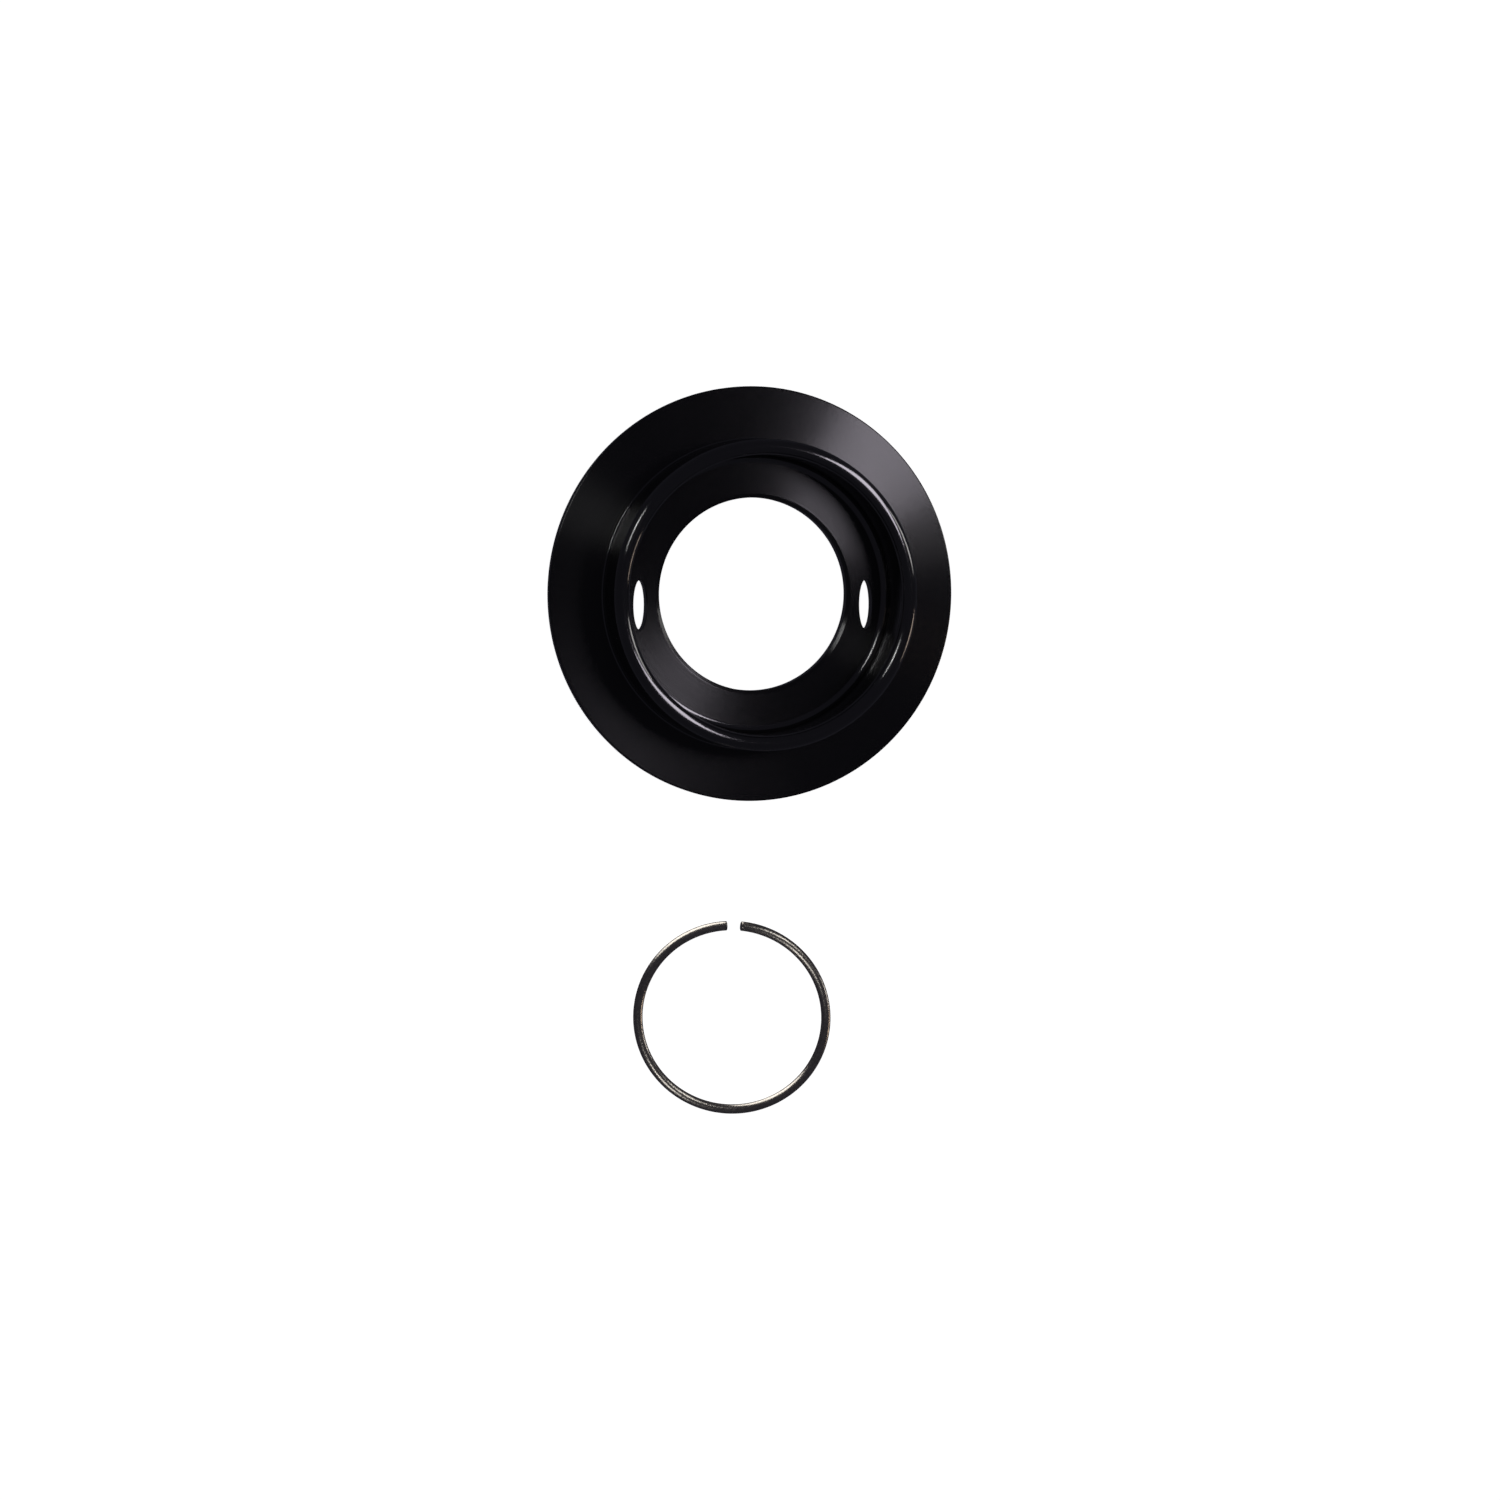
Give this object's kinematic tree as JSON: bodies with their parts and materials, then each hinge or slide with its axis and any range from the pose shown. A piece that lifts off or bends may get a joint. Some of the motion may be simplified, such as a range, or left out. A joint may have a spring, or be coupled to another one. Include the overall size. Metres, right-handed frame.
{
  "type": "flanged shaft collar",
  "caption": "Black turned collar with a wide flange, a cup-shaped hub, a shaft bore and oval floor slots, and the split wire ring that stops it on its shaft.",
  "frame": {"origin": "centre of the shaft bore in the plane of the collar's back face, which is the surface both pieces lie on", "axes": "+Z along the bore axis, out of the hub's cup; -Y towards the loose ring"},
  "size_m": [0.1, 0.1762, 0.018],
  "materials": {
    "black_anodised": "black anodised over fine turning marks, satin",
    "spring_steel": "drawn spring wire, grey-brown, semi-bright"
  },
  "bodies": {
    "collar": {"collar_body": "black_anodised"},
    "ring": {"retaining_ring": "spring_steel"}
  },
  "joints": [
    {"name": "ring_carry", "type": "hinge", "parent": "collar", "child": "ring", "pos_m": [-0.00225, -0.05133, 0.003], "axis": [-0.999, 0.0438, 0], "range_deg": [0, 180]}
  ]
}
